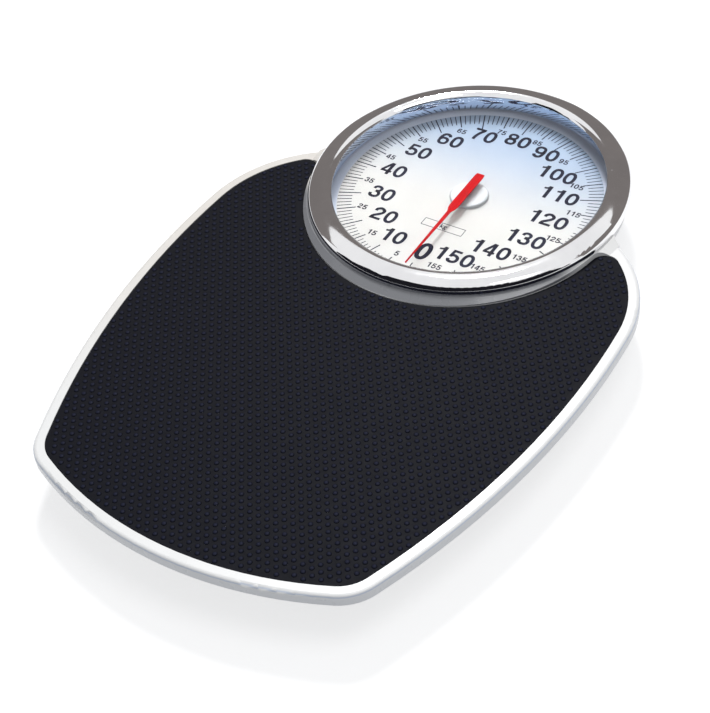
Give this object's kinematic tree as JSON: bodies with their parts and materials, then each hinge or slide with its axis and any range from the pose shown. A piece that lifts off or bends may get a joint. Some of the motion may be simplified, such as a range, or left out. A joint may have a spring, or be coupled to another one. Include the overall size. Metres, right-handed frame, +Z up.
{
  "type": "mechanical bathroom scale",
  "caption": "Mechanical bathroom scale with a bowed platform, a dotted black mat and a large round chrome-rimmed dial; lever works drive a rack, pinion and red pointer.",
  "frame": {"origin": "on the floor under the middle of the scale's bounding box", "axes": "+X to the user's right, +Y from the user towards the dial, +Z up"},
  "size_m": [0.3112, 0.453, 0.051],
  "materials": {
    "cover_paint": "smooth silver-white paint, satin",
    "mat_rubber": "black rubber with rows of small raised bumps",
    "bezel_chrome": "polished chrome plate",
    "reflector_chrome": "mirror-bright inner wall",
    "lens_glass": "clear flat lens",
    "gasket_rubber": "dark sealing ring",
    "dial_face": "white printed dial with plain numbers",
    "hub_plastic": "pale moulded boss",
    "pointer_red": "red painted sheet",
    "pan_enamel": "grey paint",
    "foot_rubber": "matt rubber",
    "zinc_steel": "zinc-plated pressed sheet",
    "lever_steel": "zinc-plated folded channel",
    "bright_steel": "bright turned steel",
    "spring_steel": "oiled spring wire",
    "brass": "turned brass",
    "pillar_plastic": "moulded plastic",
    "wheel_plastic": "knurled black plastic"
  },
  "bodies": {
    "base": {"base_pan": "pan_enamel", "rubber_feet": "foot_rubber", "front_fulcrum_brackets": "zinc_steel", "rear_fulcrum_brackets": "zinc_steel", "pan_rivets": "zinc_steel", "spring_tower": "zinc_steel", "crank_bracket": "zinc_steel", "crank_pin": "bright_steel", "rack_guide": "zinc_steel", "movement_bridge": "zinc_steel", "movement_posts": "brass", "dial_carrier": "zinc_steel", "dial_pillars": "pillar_plastic", "dial_plate": "dial_face", "hub_bush": "hub_plastic", "bush_nut": "brass"},
    "platform": {"platform_cover": "cover_paint", "platform_mat": "mat_rubber", "front_load_brackets": "zinc_steel", "rear_load_brackets": "zinc_steel", "chrome_bezel": "bezel_chrome", "reflector_ring": "reflector_chrome", "lens_gasket": "gasket_rubber", "dial_lens": "lens_glass", "bezel_screws": "bright_steel"},
    "long_lever_left": {"long_lever_left": "lever_steel", "long_lever_pivots_left": "bright_steel"},
    "long_lever_right": {"long_lever_right": "lever_steel", "long_lever_pivots_right": "bright_steel"},
    "short_lever_left": {"short_lever_left": "lever_steel", "short_lever_pivots_left": "bright_steel"},
    "short_lever_right": {"short_lever_right": "lever_steel", "short_lever_pivots_right": "bright_steel"},
    "spring_plate": {"spring_plate": "zinc_steel", "main_spring": "spring_steel"},
    "spring_anchor": {"spring_anchor": "zinc_steel"},
    "zero_adjuster": {"zero_screw": "bright_steel", "zero_wheel": "wheel_plastic"},
    "bell_crank": {"bell_crank": "zinc_steel"},
    "rack": {"rack": "zinc_steel", "rack_return_spring": "spring_steel"},
    "pointer": {"pointer": "pointer_red", "pointer_arbor": "bright_steel", "pinion": "brass"}
  },
  "joints": [
    {"name": "platform_press", "type": "slide", "parent": "base", "child": "platform", "axis": [0, 0, -1], "range_m": [0, 0.001], "stiffness_N_per_m": 1570000, "springref_m": -0.00003},
    {"name": "long_lever_left_turn", "type": "hinge", "parent": "base", "child": "long_lever_left", "pos_m": [-0.076, -0.16425, 0.019], "axis": [1, 0, 0], "range_deg": [-3.02, 0]},
    {"name": "short_lever_left_turn", "type": "hinge", "parent": "base", "child": "short_lever_left", "pos_m": [-0.104, 0.05375, 0.026], "axis": [1, 0, 0], "range_deg": [0, 3.02]},
    {"name": "long_lever_right_turn", "type": "hinge", "parent": "base", "child": "long_lever_right", "pos_m": [0.076, -0.16425, 0.019], "axis": [1, 0, 0], "range_deg": [-3.02, 0]},
    {"name": "short_lever_right_turn", "type": "hinge", "parent": "base", "child": "short_lever_right", "pos_m": [0.104, 0.05375, 0.026], "axis": [1, 0, 0], "range_deg": [0, 3.02]},
    {"name": "spring_plate_slide", "type": "slide", "parent": "base", "child": "spring_plate", "axis": [0, 0, -1], "range_m": [0, 0.008], "deforming": ["main_spring"]},
    {"name": "bell_crank_turn", "type": "hinge", "parent": "base", "child": "bell_crank", "pos_m": [0.014, 0.00875, 0.0129], "axis": [1, 0, 0], "range_deg": [0, 38.95]},
    {"name": "rack_slide", "type": "slide", "parent": "base", "child": "rack", "axis": [0, -1, 0], "range_m": [0, 0.01131], "deforming": ["rack_return_spring"]},
    {"name": "pointer_turn", "type": "hinge", "parent": "base", "child": "pointer", "pos_m": [0, 0.11975, 0.0396], "axis": [0, 0, -1], "range_deg": [0, 360.01]},
    {"name": "zero_wheel_turn", "type": "hinge", "parent": "base", "child": "zero_adjuster", "pos_m": [0, -0.00825, 0.0009], "axis": [0, 0, 1], "range_deg": [-361, 361]},
    {"name": "spring_anchor_slide", "type": "slide", "parent": "base", "child": "spring_anchor", "axis": [0, 0, 1], "range_m": [-0.0005, 0.0005]}
  ],
  "couplings": [
    {"joint": "long_lever_left_turn", "follows": "platform_press", "rad_per_m": -52.632},
    {"joint": "long_lever_right_turn", "follows": "platform_press", "rad_per_m": -52.632},
    {"joint": "short_lever_left_turn", "follows": "platform_press", "rad_per_m": 52.632},
    {"joint": "short_lever_right_turn", "follows": "platform_press", "rad_per_m": 52.632},
    {"joint": "spring_plate_slide", "follows": "platform_press", "ratio": 8},
    {"joint": "bell_crank_turn", "follows": "platform_press", "rad_per_m": 679.67},
    {"joint": "rack_slide", "follows": "platform_press", "ratio": 11.31},
    {"joint": "pointer_turn", "follows": "platform_press", "rad_per_m": 6283.2},
    {"joint": "zero_wheel_turn", "follows": "spring_anchor_slide", "rad_per_m": 12566}
  ]
}
